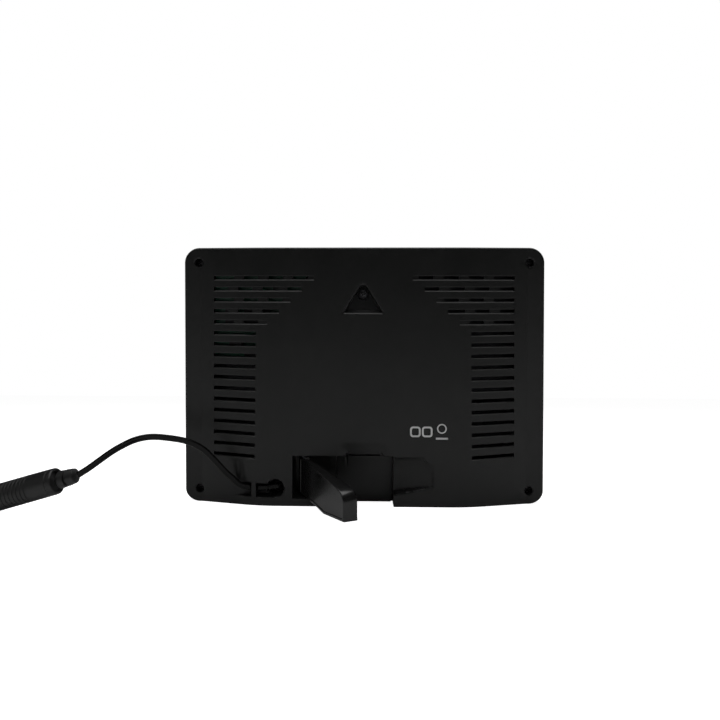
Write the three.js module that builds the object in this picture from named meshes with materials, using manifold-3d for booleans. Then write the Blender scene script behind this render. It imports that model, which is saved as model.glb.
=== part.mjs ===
// Digital photo frame standing on its swing-out leg, millimetres, +Z up.
// The screen faces -Y and the back faces +Y. The case is modelled upright in the
// "panel" group (x across, y out of the back, z up the panel) and leans back as a whole.
import * as THREE from "three";
import { mergeVertices } from "three/addons/utils/BufferGeometryUtils.js";
import Module from "manifold-3d";

const wasm = await Module();
wasm.setup();

// ---- driving dimensions -------------------------------------------------------
const WIDTH = 190;
const HEIGHT = 135; // up the panel, from the table to the top edge
const CORNER_R = 8;
const WALL = 2;
const LEAN = THREE.MathUtils.degToRad(10.3);
const GAP = 0.3; // between pieces that touch

const FRONT_Y = -19; // screen side of the bezel; the flat rear margin is y = 0
const COVER_FRONT_Y = -9.5;
const BEZEL_BACK_Y = COVER_FRONT_Y - GAP;
const BEZEL_PLATE = 2.2;

const MARGIN_X = 86; // the back is flat outside this
const BULGE = 10.65; // height of the bulged back at the bottom edge
const BULGE_SLOPE = 0.32;
const BULGE_TOP_SHARE = 0.26; // of it, left at the top edge
const KNEE = 9; // half width of the rounding between slope and plateau

const SCREW = {
  x: 87.2, topZ: HEIGHT - 7.95, bottomZ: 6.86, seatY: -4.3,
  holeR: 2.2, shankR: 1, clearR: 1.3,
};
const CASE_SCREW = { headR: 1.9, headHeight: 1.5, length: 10.5 };
const HANGER_SCREW = { headR: 2.1, headHeight: 1.6, length: 9 };
const VENT = { rows: 17, topZ: 119.15, pitch: 5.787, height: 1.7, outerX: 79, innerX: 56 };
const VENT_STEPS = [25.8, 32, 37.9, 44, 49.9]; // inner ends of the staircase rows
const BRIDGE = { width: 5.4, pitch: 13.1, oddX: 65.5, evenX: 68.6 };

const HANGER = { baseZ: 100.2, halfBase: 10.9, apexZ: 115.5, apexR: 2.2, floorY: 1, screwZ: 111 };
const BAY = { hingeX: 36.2, stepX: 18, rampX: 14.3, tipX: -15.7, bottomZ: 5.8, topZ: 27.3 };
const BAY_FLOOR_Y = -2.5;
const HINGE_FLOOR_Y = -3.4;
const NOTCH = { x: -0.5, halfWidth: 9.3, topZ: 29.3 };
const SCOOP = { farX: -35.8, bottomZ: 9.2, topZ: 26.4, shallow: 1.4, deep: 6 };

const KEYHOLE = { x: 45, z: 10.8, r: 4.55, floorY: 1.9 };
const CHANNEL = { bottomZ: 5.9, topZ: 13.1, endX: 67, floorY: 4.2 };
const STRAP = { x0: 55.2, x1: 57.8, underY: 6.9 };

const LEG = {
  axisX: 30.5, axisY: 3.6, barrelR: 3.2, swing: THREE.MathUtils.degToRad(56.5),
  length: 45.6, bottomZ: 6.4, topZ: 26, pinR: 1.1,
};
const WINDOW = { halfX: 76.7, z0: 23.8, z1: 116.2, chamfer: 1.5 };
const LCD = { halfX: 82.5, z0: 20.2, z1: 119.8 };
const BOARD = { x0: 24, x1: 86, z0: 75, z1: 122, y0: -6.2, y1: -4.6 };
const KEYS = {
  names: ["power", "menu", "previous", "play", "next", "return"],
  pitch: 15, y: -13.9, width: 9.4, depth: 3.8, proud: 0.6, bottomZ: 131.9, flangeZ: 132.5, stemZ: 129.9,
};
const KEYPAD = { halfX: 62, y0: -16.4, y1: -11, z0: 125.4, z1: 126.6 };
const TACT = { halfSide: 2.2, bottomZ: 126.9, topZ: 128.2, plungerR: 1, plungerZ: 128.9 };
const SPEAKER = { x: 67.5, z: 41, y: -0.9 };

// The power lead is flat: two cores side by side. It lies in the channel, arches out under its
// own stiffness and ends in an in-line socket, whose far end rests on the table.
const LEAD = { width: 3.1, thick: 1.7, steps: 46 };
const LEAD_ROUTE = [ // level frame, before the whole is centred over its footprint
  [44.3, 6.4, 9.2], [50, 7.16, 8.66], [56.9, 7.25, 8.4], [60.3, 8.95, 9.3], [63.6, 11.3, 10.6],
  [67, 12.04, 13.67], [70.3, 13.53, 16.85], [75.5, 16.27, 22.96], [80.2, 18.7, 28.2], [84.2, 20.8, 31.1],
  [88.7, 23.2, 33.3], [96.5, 26.8, 35.1], [104.3, 30, 35.8], [110.8, 31.9, 34.5], [117.3, 33.2, 31.3],
  [121.7, 33.7, 28.5], [126.1, 34.1, 25.2], [131.5, 34.3, 21.2], [136, 34.3, 18.3],
];
const SOCKET = {
  r: 6.35, bootLength: 10.2, length: 33.6, boreR: 3.4, boreDepth: 11,
  aim: [0.961, -0.048, -0.273],
};

const TAN = Math.tan(LEAN);
const ARC = 6; // segments in a quarter round

// ---- closed solids: made from three.js geometries, joined and cut ---------------
/** A closed geometry as a solid, turned outwards if it is inside out. */
function solid(geometry) {
  const bare = geometry.clone();
  bare.deleteAttribute("normal");
  bare.deleteAttribute("uv");
  const merged = mergeVertices(bare, 1e-5);
  const at = (i) => new THREE.Vector3().fromBufferAttribute(merged.attributes.position, i);
  const corners = Uint32Array.from(merged.index.array);
  let volume = 0;
  for (let i = 0; i < corners.length; i += 3) {
    volume += at(corners[i]).dot(at(corners[i + 1]).cross(at(corners[i + 2])));
  }
  if (volume < 0) corners.reverse();
  return new wasm.Manifold(new wasm.Mesh({
    numProp: 3,
    vertProperties: new Float32Array(merged.attributes.position.array),
    triVerts: corners,
  }));
}

function geometryOf(manifold) {
  const mesh = manifold.getMesh();
  const geometry = new THREE.BufferGeometry();
  geometry.setAttribute("position", new THREE.BufferAttribute(mesh.vertProperties, 3));
  geometry.setIndex(new THREE.BufferAttribute(mesh.triVerts, 1));
  geometry.computeVertexNormals();
  return geometry;
}

const joined = (first, ...rest) => rest.reduce((sum, next) => sum.add(next), first);
const cut = (first, ...rest) => rest.reduce((left, next) => left.subtract(next), first);

/** A box from its low and high corners. */
function box(x0, y0, z0, x1, y1, z1) {
  const geometry = new THREE.BoxGeometry(x1 - x0, y1 - y0, z1 - z0);
  return solid(geometry.translate((x0 + x1) / 2, (y0 + y1) / 2, (z0 + z1) / 2));
}

/** A round bar along Y, through the case. */
function barY(x, z, r, y0, y1, sides = 20) {
  const geometry = new THREE.CylinderGeometry(r, r, y1 - y0, sides);
  return solid(geometry.translate(x, (y0 + y1) / 2, z));
}

/** A round bar along Z, up the panel. */
function barZ(x, y, r, z0, z1, sides = 20) {
  const geometry = new THREE.CylinderGeometry(r, r, z1 - z0, sides).rotateX(Math.PI / 2);
  return solid(geometry.translate(x, y, (z0 + z1) / 2));
}

/** A turned piece along Y: points are [radius, y] and start and end on the axis. */
function turnedY(x, z, points, sides = 24) {
  const profile = points.map(([r, y]) => new THREE.Vector2(r, y));
  return solid(new THREE.LatheGeometry(profile, sides).translate(x, 0, z));
}

/** A prism along Y of an outline of [x, z] points. */
function prismY(outline, y0, y1) {
  const shape = new THREE.Shape(outline.map(([x, z]) => new THREE.Vector2(x, z)));
  const geometry = new THREE.ExtrudeGeometry(shape, { depth: y1 - y0, bevelEnabled: false });
  return solid(geometry.rotateX(Math.PI / 2).translate(0, y1, 0));
}

/** A prism along Z of an outline of [x, y] points. */
function prismZ(outline, z0, z1) {
  const shape = new THREE.Shape(outline.map(([x, y]) => new THREE.Vector2(x, y)));
  const geometry = new THREE.ExtrudeGeometry(shape, { depth: z1 - z0, bevelEnabled: false });
  return solid(geometry.translate(0, 0, z0));
}

/** A closed solid from vertices and triangles that all turn the same way. */
function closed(vertices, triangles) {
  const geometry = new THREE.BufferGeometry();
  geometry.setAttribute("position", new THREE.Float32BufferAttribute(vertices.flat(), 3));
  geometry.setIndex(triangles.flat());
  return solid(geometry);
}

/** A loft through rings of the case's outline, each { y, inset }. */
function caseLoft(rings) {
  const outlines = rings.map(({ y, inset }) => caseOutline(inset, y));
  const n = outlines[0].length;
  const vertices = outlines.flatMap((ring, k) => ring.map(([x, z]) => [x, rings[k].y, z]));
  const triangles = [];
  for (let k = 0; k + 1 < rings.length; k++) {
    for (let i = 0; i < n; i++) {
      const [a, b] = [k * n + i, k * n + ((i + 1) % n)];
      triangles.push([a, b, a + n], [b, b + n, a + n]);
    }
  }
  const flat = outlines[0].map(([x, z]) => new THREE.Vector2(x, z));
  const cap = THREE.ShapeUtils.triangulateShape(flat, []);
  const last = (rings.length - 1) * n;
  for (const [a, b, c] of cap) {
    triangles.push([a, c, b], [last + a, last + b, last + c]);
  }
  return closed(vertices, triangles);
}

/** The case's outline at depth y. Its lower half is shifted so that its bottom lies on the table. */
function caseOutline(inset, y) {
  const r = CORNER_R - inset;
  const x = WIDTH / 2 - CORNER_R;
  const high = HEIGHT - CORNER_R;
  const centres = [[x, high], [-x, high], [-x, CORNER_R], [x, CORNER_R]];
  return centres.flatMap(([cx, cz], quarter) => Array.from({ length: ARC + 1 }, (_, i) => {
    const a = (quarter + i / ARC) * Math.PI / 2;
    return [cx + r * Math.cos(a), cz + r * Math.sin(a) + (quarter > 1 ? y * TAN : 0)];
  }));
}

// ---- the bulged back ------------------------------------------------------------
/** How far the back stands out at x across and z up the panel. */
function backY(x, z) {
  const slope = BULGE_SLOPE * Math.max(0, MARGIN_X - Math.abs(x));
  const knee = MARGIN_X - BULGE / BULGE_SLOPE;
  const t = (knee + KNEE - Math.abs(x)) / (2 * KNEE); // 0 where the slope ends, 1 on the plateau
  const rounded = BULGE - BULGE_SLOPE * KNEE * (1 - t) ** 2;
  const profile = t <= 0 ? slope : t >= 1 ? BULGE : rounded;
  return profile * (1 - (1 - BULGE_TOP_SHARE) * z / HEIGHT);
}

/** Everything in front of the back's surface, moved in by inset. */
function behindBack(inset) {
  const half = [0, 43.7, 49, 55, 61.7, 74, MARGIN_X, 100];
  const xs = [...half.slice(1).reverse().map((x) => -x), ...half];
  const zs = Array.from({ length: 5 }, (_, i) => -15 + 40 * i);
  const vertices = [];
  for (const x of xs) {
    for (const z of zs) vertices.push([x, backY(x, z) - inset, z], [x, -30, z]);
  }
  const at = (i, j, low) => 2 * (i * zs.length + j) + low;
  const triangles = [];
  const quad = (a, b, c, d) => triangles.push([a, b, c], [a, c, d]);
  for (let i = 0; i + 1 < xs.length; i++) {
    for (let j = 0; j + 1 < zs.length; j++) {
      quad(at(i, j, 0), at(i, j + 1, 0), at(i + 1, j + 1, 0), at(i + 1, j, 0));
      quad(at(i, j, 1), at(i + 1, j, 1), at(i + 1, j + 1, 1), at(i, j + 1, 1));
    }
    const top = zs.length - 1;
    quad(at(i, 0, 0), at(i + 1, 0, 0), at(i + 1, 0, 1), at(i, 0, 1));
    quad(at(i, top, 0), at(i, top, 1), at(i + 1, top, 1), at(i + 1, top, 0));
  }
  const right = xs.length - 1;
  for (let j = 0; j + 1 < zs.length; j++) {
    quad(at(0, j, 0), at(0, j, 1), at(0, j + 1, 1), at(0, j + 1, 0));
    quad(at(right, j, 0), at(right, j + 1, 0), at(right, j + 1, 1), at(right, j, 1));
  }
  return closed(vertices, triangles);
}

const FAR_Y = 14; // beyond the back's highest point
const caseBack = caseLoft([{ y: COVER_FRONT_Y, inset: 0 }, { y: FAR_Y, inset: 0 }])
  .intersect(behindBack(0));

// ---- rear cover -----------------------------------------------------------------
function hangerOutline(grow) {
  const { baseZ, halfBase, apexZ, apexR } = HANGER;
  const centreZ = apexZ - apexR;
  const rise = centreZ - baseZ;
  const lean = Math.atan2(rise, halfBase) - Math.asin(apexR / Math.hypot(rise, halfBase));
  const side = Math.PI / 2 - lean;
  const points = [[halfBase + grow, baseZ - grow]];
  for (let i = 0; i <= ARC; i++) {
    const a = Math.PI / 2 - side + (2 * side * i) / ARC;
    points.push([(apexR + grow) * Math.cos(a), centreZ + (apexR + grow) * Math.sin(a)]);
  }
  points.push([-halfBase - grow, baseZ - grow]);
  return points;
}

/** The open stretches of one vent row between its bridges, as [x0, x1] on the +X side. */
function ventStretches(row) {
  if (row >= VENT_STEPS.length) return [[VENT.innerX, VENT.outerX]];
  const first = row % 2 === 0 ? BRIDGE.oddX : BRIDGE.evenX;
  const stretches = [];
  let end = VENT.outerX;
  for (let x = first; x > VENT_STEPS[row]; x -= BRIDGE.pitch) {
    stretches.push([x + BRIDGE.width / 2, end]);
    end = x - BRIDGE.width / 2;
  }
  if (end - VENT_STEPS[row] > 3) stretches.push([VENT_STEPS[row], end]);
  return stretches;
}

function vents() {
  const slots = [];
  for (let row = 0; row < VENT.rows; row++) {
    const z = VENT.topZ - row * VENT.pitch;
    for (const [x0, x1] of ventStretches(row)) {
      for (const [a, b] of [[x0, x1], [-x1, -x0]]) {
        slots.push(box(a, -2.8, z - VENT.height / 2, b, FAR_Y, z + VENT.height / 2));
      }
    }
  }
  return slots;
}

const cornerScrews = [-1, 1].flatMap((side) => [SCREW.bottomZ, SCREW.topZ].map((z) => [side * SCREW.x, z]));
const boardScrews = [[30, 118.5], [30, 79], [79, 88]];

function rearCover() {
  const hollow = caseLoft([{ y: COVER_FRONT_Y - 1, inset: WALL }, { y: FAR_Y, inset: WALL }])
    .intersect(behindBack(WALL));
  const inner = (block) => block.intersect(caseBack);
  const blocks = [
    box(BAY.tipX - 1.8, HINGE_FLOOR_Y - 1.7, -8, BAY.hingeX + 1.8, FAR_Y, BAY.topZ + 4.5), // stand bay
    box(SCOOP.farX - 1.6, 0.5, -8, BAY.tipX, FAR_Y, SCOOP.topZ + 1.8), // finger scoop
    box(BAY.hingeX + 1, KEYHOLE.floorY - 1.5, -8, CHANNEL.endX + 1.5, FAR_Y, KEYHOLE.z + KEYHOLE.r + 1.8),
    prismY(hangerOutline(1.5), HANGER.floorY - 1.5, FAR_Y),
    ...cornerScrews.map(([x, z]) => barY(x, z, 3.6, COVER_FRONT_Y, -1)),
    ...boardScrews.map(([x, z]) => barY(x, z, 2.5, BOARD.y1 + GAP, backY(x, z) - 1)),
  ].map(inner);
  let cover = joined(cut(caseBack, hollow), ...blocks);

  const bay = [
    box(BAY.stepX, HINGE_FLOOR_Y, BAY.bottomZ, BAY.hingeX, FAR_Y, BAY.topZ),
    box(BAY.rampX, -1.2, BAY.bottomZ, BAY.stepX, FAR_Y, BAY.topZ),
    box(BAY.tipX, BAY_FLOOR_Y, -8, BAY.rampX, FAR_Y, BAY.topZ),
    box(NOTCH.x - NOTCH.halfWidth, 5, BAY.topZ - 1, NOTCH.x + NOTCH.halfWidth, FAR_Y, NOTCH.topZ),
    barZ(LEG.axisX, LEG.axisY, LEG.pinR + GAP, BAY.bottomZ - 2.6, BAY.topZ + 2.6, 16),
  ];
  const scoopY = (x) => backY(x, 18);
  const scoop = prismZ([
    [SCOOP.farX, scoopY(SCOOP.farX) - SCOOP.shallow], [BAY.tipX + 1, scoopY(BAY.tipX) - SCOOP.deep],
    [BAY.tipX + 1, FAR_Y], [SCOOP.farX, FAR_Y],
  ], SCOOP.bottomZ, SCOOP.topZ);
  const lead = [
    barY(KEYHOLE.x, KEYHOLE.z, KEYHOLE.r, KEYHOLE.floorY, FAR_Y, 24),
    barY(KEYHOLE.x, KEYHOLE.z, 3, KEYHOLE.floorY - 3, FAR_Y),
    box(KEYHOLE.x, CHANNEL.floorY, CHANNEL.bottomZ, STRAP.x0, FAR_Y, CHANNEL.topZ),
    box(STRAP.x0 - 1, CHANNEL.floorY, CHANNEL.bottomZ, STRAP.x1 + 1, STRAP.underY, CHANNEL.topZ),
    prismZ([[STRAP.x1, CHANNEL.floorY], [CHANNEL.endX, backY(CHANNEL.endX, CHANNEL.topZ)],
      [CHANNEL.endX, FAR_Y], [STRAP.x1, FAR_Y]], CHANNEL.bottomZ, CHANNEL.topZ),
  ];
  const hanger = [
    prismY(hangerOutline(0), HANGER.floorY, FAR_Y),
    barY(0, HANGER.screwZ, SCREW.clearR, HANGER.floorY - 3, FAR_Y, 16),
  ];
  const screwHoles = cornerScrews.flatMap(([x, z]) => [
    barY(x, z, SCREW.holeR, SCREW.seatY, FAR_Y), barY(x, z, SCREW.clearR, COVER_FRONT_Y - 1, FAR_Y, 16),
  ]);
  const bossHoles = boardScrews.map(([x, z]) => barY(x, z, SCREW.clearR, BOARD.y1, -1.3, 12));
  cover = cut(cover, ...bay, scoop, ...lead, ...hanger, ...screwHoles, ...bossHoles, ...vents());
  return cut(cover, cardOpening(), usbOpening());
}

// ---- ports at the board's outer edge ----------------------------------------------
const CARD = { x0: 62, x1: 90.8, y0: -9.3, y1: -6.5, z0: 92, z1: 118 };
const USB = { x0: 82.5, x1: 94.2, y0: -10.2, y1: -6.5, z0: 78.2, z1: 85.9 };
const cardOpening = () => box(CARD.x1 - 3, CARD.y0 + 0.3, CARD.z0 + 1, 100, CARD.y1 - 0.3, CARD.z1 - 1);
const usbOpening = () => box(USB.x0, USB.y0 - GAP, USB.z0 - GAP, 100, USB.y1 + GAP, USB.z1 + GAP);

function cardReader() {
  return cut(box(CARD.x0, CARD.y0, CARD.z0, CARD.x1, CARD.y1, CARD.z1),
    box(CARD.x0 + 4, CARD.y0 + 0.3, CARD.z0 + 1, 100, CARD.y1 - 0.3, CARD.z1 - 1));
}

function usbPort() {
  const mouth = box(USB.x1 - 6.5, USB.y0 + 0.4, USB.z0 + 0.4, USB.x1 + 1, USB.y1 - 0.4, USB.z1 - 0.4);
  const tongue = box(USB.x1 - 7, USB.y0 + 1.4, USB.z0 + 1.6, USB.x1 - 1.5, USB.y1 - 1.4, USB.z1 - 1.6);
  return joined(cut(box(USB.x0, USB.y0, USB.z0, USB.x1, USB.y1, USB.z1), mouth), tongue);
}

// ---- front bezel --------------------------------------------------------------------
const KEY_X = KEYS.names.map((_, i) => (i - (KEYS.names.length - 1) / 2) * KEYS.pitch);
const REMOTE = { x: -58, z: 11, halfX: 5, halfZ: 2.2 };

function frontBezel() {
  const back = FRONT_Y + BEZEL_PLATE;
  const shell = cut(
    caseLoft([{ y: FRONT_Y, inset: 1.2 }, { y: FRONT_Y + 1.2, inset: 0 }, { y: BEZEL_BACK_Y, inset: 0 }]),
    caseLoft([{ y: back, inset: BEZEL_PLATE }, { y: BEZEL_BACK_Y + 1, inset: BEZEL_PLATE }]),
  );
  const ringInset = BEZEL_PLATE - 0.5;
  const tongue = cut(
    joined(
      caseLoft([{ y: BEZEL_BACK_Y - 1, inset: WALL + GAP }, { y: COVER_FRONT_Y + 1.2, inset: WALL + GAP }]),
      caseLoft([{ y: BEZEL_BACK_Y - 1, inset: ringInset }, { y: BEZEL_BACK_Y, inset: ringInset }]),
    ),
    caseLoft([{ y: BEZEL_BACK_Y - 2, inset: 3.6 }, { y: 0, inset: 3.6 }]),
  );
  const ledge = (x) => box(x - 4, back - 0.5, KEYPAD.z0 - 2, x + 4, KEYPAD.y1 - 0.5, KEYPAD.z0 - GAP);
  const bosses = cornerScrews.map(([x, z]) => barY(x, z, 3.2, back - 0.5, BEZEL_BACK_Y));
  const holes = cornerScrews.map(([x, z]) => barY(x, z, SCREW.clearR, -15.6, 0, 16));
  const body = joined(shell, tongue, ledge(-56), ledge(56), ...bosses); // the ledges carry the keypad board
  const openings = [windowOpening(back), remoteBar(0, -1, 20), cardOpening(), usbOpening()];
  return cut(body, ...openings, ...holes, ...keySlots());
}

/** The display's window, which flares towards the front. */
function windowOpening(back) {
  const { halfX, z0, z1, chamfer } = WINDOW;
  const corners = (grow, y) => [
    [-halfX - grow, y, z0 - grow],
    [halfX + grow, y, z0 - grow],
    [halfX + grow, y, z1 + grow],
    [-halfX - grow, y, z1 + grow],
  ];
  const [lowY, highY] = [FRONT_Y - 0.1, back + 0.1];
  const rings = [...corners(chamfer, lowY), ...corners(0, lowY + chamfer), ...corners(0, highY)];
  const faces = [[0, 1, 2], [0, 2, 3], [8, 10, 9], [8, 11, 10]];
  for (const base of [0, 4]) {
    for (let i = 0; i < 4; i++) {
      const [a, b] = [base + i, base + ((i + 1) % 4)];
      faces.push([a, a + 4, b], [b, a + 4, b + 4]);
    }
  }
  return closed(rings, faces);
}

function keySlots() {
  const { width, depth, y, stemZ, proud } = KEYS;
  const [halfX, halfY] = [width / 2 + GAP, depth / 2 + GAP];
  return KEY_X.map((x) => box(x - halfX, y - halfY, stemZ, x + halfX, y + halfY, HEIGHT + proud + 1));
}

/** A block on the remote control's axis, grown sideways, from y0 to y1 behind the bezel's front. */
function remoteBar(grow, y0, y1) {
  const { x, z, halfX, halfZ } = REMOTE;
  const [wide, high] = [halfX + grow, halfZ + grow];
  return box(x - wide, FRONT_Y + y0, z - high, x + wide, FRONT_Y + y1, z + high);
}

function remoteWindow() {
  const flangeY = BEZEL_PLATE + GAP;
  return joined(remoteBar(-GAP, 0.2, flangeY), remoteBar(1, flangeY, flangeY + 0.8));
}

function remoteReceiver() {
  const { x, z } = REMOTE;
  const y = FRONT_Y + BEZEL_PLATE + 4;
  const lens = [[0, y + 0.5], [2, y + 0.5], [2, y - 1], [1.2, y - 2], [0, y - 2.4]];
  return joined(box(x - 3, y, z - 3, x + 3, y + 1.5, z + 3.5), turnedY(x, z, lens, 16));
}

// ---- display --------------------------------------------------------------------------
const GLASS_Y = FRONT_Y + BEZEL_PLATE + GAP;
const lcdSlab = (inset, y0, y1) =>
  box(-LCD.halfX + inset, y0, LCD.z0 + inset, LCD.halfX - inset, y1, LCD.z1 - inset);
const lcdGlass = () => lcdSlab(1.3, GLASS_Y, GLASS_Y + 1.8);
const lcdBacklight = () => lcdSlab(1.3, GLASS_Y + 2.1, GLASS_Y + 4.1);

function lcdChassis() {
  const floorY = GLASS_Y + 4.4;
  const tray = cut(lcdSlab(0, GLASS_Y, floorY + 1), lcdSlab(1, GLASS_Y - 1, floorY));
  const standoff = barY(0, HANGER.screwZ, 3, floorY, HANGER.floorY - 1.5 - GAP);
  return cut(tray.add(standoff), barY(0, HANGER.screwZ, SCREW.clearR, floorY + 1.5, 0, 12));
}

// ---- boards and what is on them ----------------------------------------------------------
function mainBoard() {
  const { x0, y0, z0, x1, y1, z1 } = BOARD;
  const holes = boardScrews.map(([x, z]) => barY(x, z, SCREW.clearR, y0 - 1, y1 + 1, 12));
  return cut(box(x0, y0, z0, x1, y1, z1), ...holes);
}

const onBoardY = BOARD.y1 + GAP; // parts on the board's back face start here
const chip = (x, z, width, height, thick) =>
  box(x - width / 2, onBoardY, z - height / 2, x + width / 2, onBoardY + thick, z + height / 2);

function canCapacitor(x, z, r, height) {
  const top = onBoardY + height;
  return turnedY(x, z, [[0, onBoardY], [r, onBoardY], [r, top - 0.4], [r - 0.4, top], [0, top]], 16);
}

function keypadBoard() {
  return box(-KEYPAD.halfX, KEYPAD.y0, KEYPAD.z0, KEYPAD.halfX, KEYPAD.y1, KEYPAD.z1);
}

function tactSwitch(x) {
  const { halfSide, bottomZ, topZ, plungerR, plungerZ } = TACT;
  const { y } = KEYS;
  const body = box(x - halfSide, y - halfSide, bottomZ, x + halfSide, y + halfSide, topZ);
  return joined(body, barZ(x, y, plungerR, topZ - 0.2, plungerZ, 12));
}

function keyCap(x) {
  const { y, width, depth, proud, bottomZ, flangeZ, stemZ } = KEYS;
  const block = (halfX, halfY, z0, z1) => box(x - halfX, y - halfY, z0, x + halfX, y + halfY, z1);
  const cap = block(width / 2, depth / 2, bottomZ, HEIGHT + proud);
  const flange = block(width / 2 + 0.9, depth / 2 + 0.6, bottomZ, flangeZ);
  const stem = block(1.5, 1.5, stemZ, bottomZ + 0.1);
  return joined(cap, flange, stem);
}

// ---- speakers, screws, grommet ---------------------------------------------------------------
function speaker(side) {
  const { x, y, z } = SPEAKER;
  return turnedY(side * x, z, [
    [0, y - 9.4], [7, y - 9.4], [7, y - 5.6], [11, y - 3.6], [13, y - 3.2], [13, y],
    [11.6, y], [11, y - 1], [4.5, y - 2], [3.5, y - 0.9], [0, y - 0.5],
  ]);
}

/** A screw along Y, head outwards; y is under its head. */
function screw(x, z, y, { headR, headHeight, length }) {
  const r = SCREW.shankR;
  return turnedY(x, z, [
    [0, y - length], [r * 0.4, y - length], [r, y - length + 1], [r, y], [headR, y],
    [headR, y + headHeight * 0.4], [headR * 0.6, y + headHeight], [0, y + headHeight],
  ], 16);
}

const boardScrew = (x, z) => turnedY(x, z, [
  [0, BOARD.y0 - GAP - 1.2], [1.9, BOARD.y0 - GAP - 1.2], [1.9, BOARD.y0 - GAP], [0.9, BOARD.y0 - GAP],
  [0.9, -2.4], [0, -1.9],
], 12);

function leadGrommet() {
  const { x, z, r, floorY } = KEYHOLE;
  const flange = barY(x, z, r - 0.45, floorY + GAP, floorY + 1.5, 24);
  const neck = barY(x, z, 2.7, floorY - 3.2, floorY + 1);
  const snout = box(x - 3.3, floorY + 1.2, z - 2.6, x - 1.2, floorY + 4, z + 1.6);
  return joined(flange, neck, snout);
}

// ---- power lead and its in-line socket: turned pieces along +Y, which is aimed down the lead --------
/** A closed section swept along a smooth route of [x, y, z] points. */
function swept(section, route, steps) {
  const extrudePath = new THREE.CatmullRomCurve3(route.map((p) => new THREE.Vector3(...p)));
  const options = { steps, curveSegments: 8, extrudePath, bevelEnabled: false };
  return solid(new THREE.ExtrudeGeometry(section, options));
}

function powerLead() {
  const section = new THREE.Shape(Array.from({ length: 8 }, (_, i) => {
    const a = (2 * Math.PI * i) / 8;
    return new THREE.Vector2((LEAD.width / 2) * Math.cos(a), (LEAD.thick / 2) * Math.sin(a));
  }));
  return swept(section, LEAD_ROUTE, LEAD.steps);
}

/** The lead's stretch inside the case, from the keyhole to the main board. */
function innerLead() {
  const route = [
    [45, -2.2, 10.8], [45.1, -5, 12.5], [46, -7, 20], [47.5, -7, 35], [48.5, -7, 50],
    [50, -6.5, 62], [54, -4.4, 70], [59, -3, 73.4], [60.2, -2.8, 76],
  ];
  return swept(new THREE.Shape().absarc(0, 0, 0.9, 0, 2 * Math.PI), route, 30);
}

function leadBoot() {
  const end = SOCKET.bootLength;
  return turnedY(0, 0, [
    [0, 0.8], [3, 0.8], [3.6, 1.8], [3.95, 4.4], [4.25, end - 1.4], [3.2, end - 1.2], [3.2, end], [0, end],
  ], 20);
}

function socketBody() {
  const { r, boreR, boreDepth, bootLength, length } = SOCKET;
  const start = bootLength + GAP;
  const end = start + length;
  return turnedY(0, 0, [
    [0, start], [r - 0.9, start], [r, start + 1], [r, end - 0.6], [r - 0.6, end],
    [boreR, end], [boreR, end - boreDepth], [0, end - boreDepth],
  ]);
}

function socketSleeve() {
  const { boreR, boreDepth, bootLength, length } = SOCKET;
  const floor = bootLength + GAP + length - boreDepth + GAP;
  const outer = boreR - 0.35;
  const inner = outer - 0.35;
  const [base, mouth] = [floor + 0.5, floor + 10];
  return turnedY(0, 0, [
    [0, floor], [outer, floor], [outer, mouth], [inner, mouth], [inner, base], [0, base],
  ], 20);
}

function socketPin() {
  const { boreDepth, bootLength, length } = SOCKET;
  const floor = bootLength + GAP + length - boreDepth + 2 * GAP + 0.5;
  const tip = floor + 8.4;
  return turnedY(0, 0, [[0, floor], [1, floor], [1, tip - 0.8], [0.6, tip], [0, tip]], 12);
}

// ---- stand leg: modelled folded, length along -X from its hinge axis ---------------------------
function standLeg() {
  const { length, bottomZ, topZ, barrelR } = LEG;
  const side = [
    [barrelR, bottomZ], [-9.2, bottomZ], [-19.8, 5.75], [-30, 4.5], [-length - 1, 4.5], [-length, 9.5],
    [-length + 0.2, 15.6], [-length + 1.1, 18.1], [-length + 2.8, 20.3], [-length + 5.3, 21.5],
    [-27.5, 23.6], [-12, topZ - 0.4], [barrelR, topZ],
  ];
  const wedge = [[0, barrelR], [-length - 2, barrelR], [-length - 2, -4.6], [-5, 0.87], [0, 0]];
  const blade = prismY(side, -8, 8).intersect(prismZ(wedge, 0, 40));
  const barrel = barZ(0, 0, barrelR, bottomZ, topZ, 24);
  const table = box(-300, -300, -100, 300, 300, 0).transform(tableInLegFrame().elements);
  return cut(blade.add(barrel), barZ(0, 0, LEG.pinR + GAP / 2, 0, 40, 16), table);
}

/** From the level frame, where the table is z = 0, to the folded leg's own frame. */
function tableInLegFrame() {
  const toPanel = new THREE.Matrix4().makeRotationX(LEAN);
  const toAxis = new THREE.Matrix4().makeTranslation(-LEG.axisX, -LEG.axisY, 0);
  return new THREE.Matrix4().makeRotationZ(LEG.swing).multiply(toAxis).multiply(toPanel);
}

function hingePin() {
  return barZ(LEG.axisX, LEG.axisY, LEG.pinR - GAP / 2, BAY.bottomZ - 2.3, BAY.topZ + 2.3, 16);
}

function frictionWasher() {
  const ring = barZ(LEG.axisX, LEG.axisY, 2.8, LEG.topZ + GAP, LEG.topZ + 1, 20);
  return cut(ring, barZ(LEG.axisX, LEG.axisY, LEG.pinR + GAP / 2, 0, 40, 16));
}

/** The flat ribbon from the display to the main board. */
function lcdRibbon() {
  return joined(
    box(30, -10.7, 86, 44, -10.4, 112),
    box(43.7, -10.7, 92, 44, -6.8, 108),
    box(43.7, -7.1, 92, 50, -6.5, 108),
  );
}

// ---- assembly --------------------------------------------------------------------------------
function finish(color, roughness, metalness = 0) {
  return new THREE.MeshStandardMaterial({ color, roughness, metalness });
}

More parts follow.
